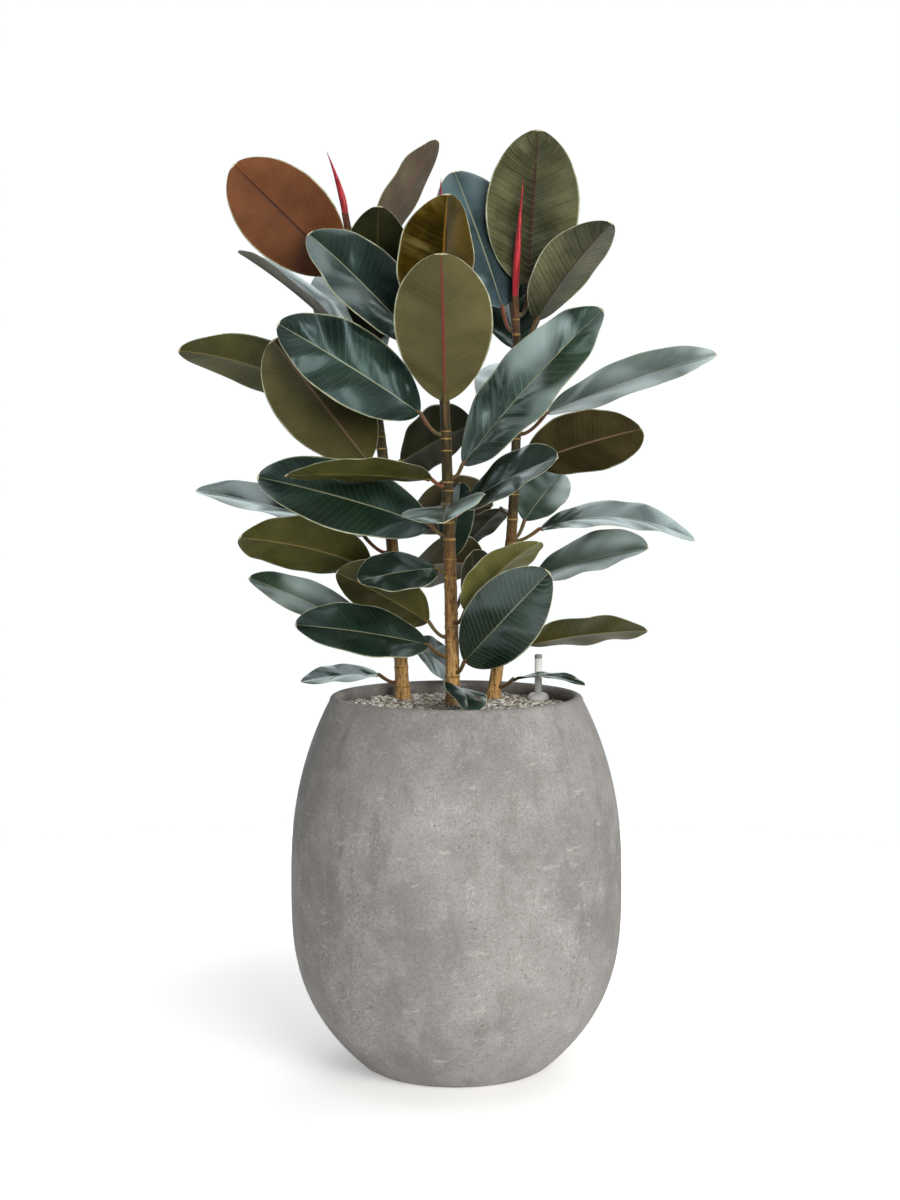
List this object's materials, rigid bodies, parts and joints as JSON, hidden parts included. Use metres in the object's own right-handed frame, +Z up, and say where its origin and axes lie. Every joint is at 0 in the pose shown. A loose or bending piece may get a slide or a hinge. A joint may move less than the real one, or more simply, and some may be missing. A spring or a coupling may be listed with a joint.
{
  "type": "potted rubber plant",
  "caption": "Rubber plant with upright stems and large dark oval leaves, planted in a barrel-shaped grey concrete planter with pebbles and a water gauge.",
  "frame": {"origin": "centre of the planter's flat underside, on the ground", "axes": "+Z up along the planter, -Y to the front that the picture shows, +X to its right"},
  "size_m": [0.7201, 0.5431, 1.2529],
  "materials": {
    "leaf": "glossy dark green above, matte olive below",
    "sheath": "satin crimson rolled young leaf",
    "stem": "ringed bark, orange-brown below and olive above",
    "planter": "matte mottled concrete",
    "substrate": "loose pale clay granulate",
    "gauge_foot": "light grey moulded plastic",
    "gauge_tube": "clear tube"
  },
  "bodies": {
    "root": {"gauge_foot": "gauge_foot", "gauge_tube": "gauge_tube", "leaf_left_1": "leaf", "leaf_left_10": "leaf", "leaf_left_2": "leaf", "leaf_left_3": "leaf", "leaf_left_4": "leaf", "leaf_left_5": "leaf", "leaf_left_6": "leaf", "leaf_left_7": "leaf", "leaf_left_8": "leaf", "leaf_left_9": "leaf", "leaf_middle_1": "leaf", "leaf_middle_10": "leaf", "leaf_middle_11": "leaf", "leaf_middle_12": "leaf", "leaf_middle_13": "leaf", "leaf_middle_14": "leaf", "leaf_middle_15": "leaf", "leaf_middle_2": "leaf", "leaf_middle_3": "leaf", "leaf_middle_4": "leaf", "leaf_middle_5": "leaf", "leaf_middle_6": "leaf", "leaf_middle_7": "leaf", "leaf_middle_8": "leaf", "leaf_middle_9": "leaf", "leaf_rear_1": "leaf", "leaf_rear_10": "leaf", "leaf_rear_11": "leaf", "leaf_rear_12": "leaf", "leaf_rear_13": "leaf", "leaf_rear_14": "leaf", "leaf_rear_2": "leaf", "leaf_rear_3": "leaf", "leaf_rear_4": "leaf", "leaf_rear_5": "leaf", "leaf_rear_6": "leaf", "leaf_rear_7": "leaf", "leaf_rear_8": "leaf", "leaf_rear_9": "leaf", "leaf_right_1": "leaf", "leaf_right_10": "leaf", "leaf_right_2": "leaf", "leaf_right_3": "leaf", "leaf_right_4": "leaf", "leaf_right_5": "leaf", "leaf_right_6": "leaf", "leaf_right_7": "leaf", "leaf_right_8": "leaf", "leaf_right_9": "leaf", "planter": "planter", "sheath_left": "sheath", "sheath_middle": "sheath", "sheath_right": "sheath", "stem_left": "stem", "stem_middle": "stem", "stem_right": "stem", "substrate": "substrate"}
  },
  "joints": []
}
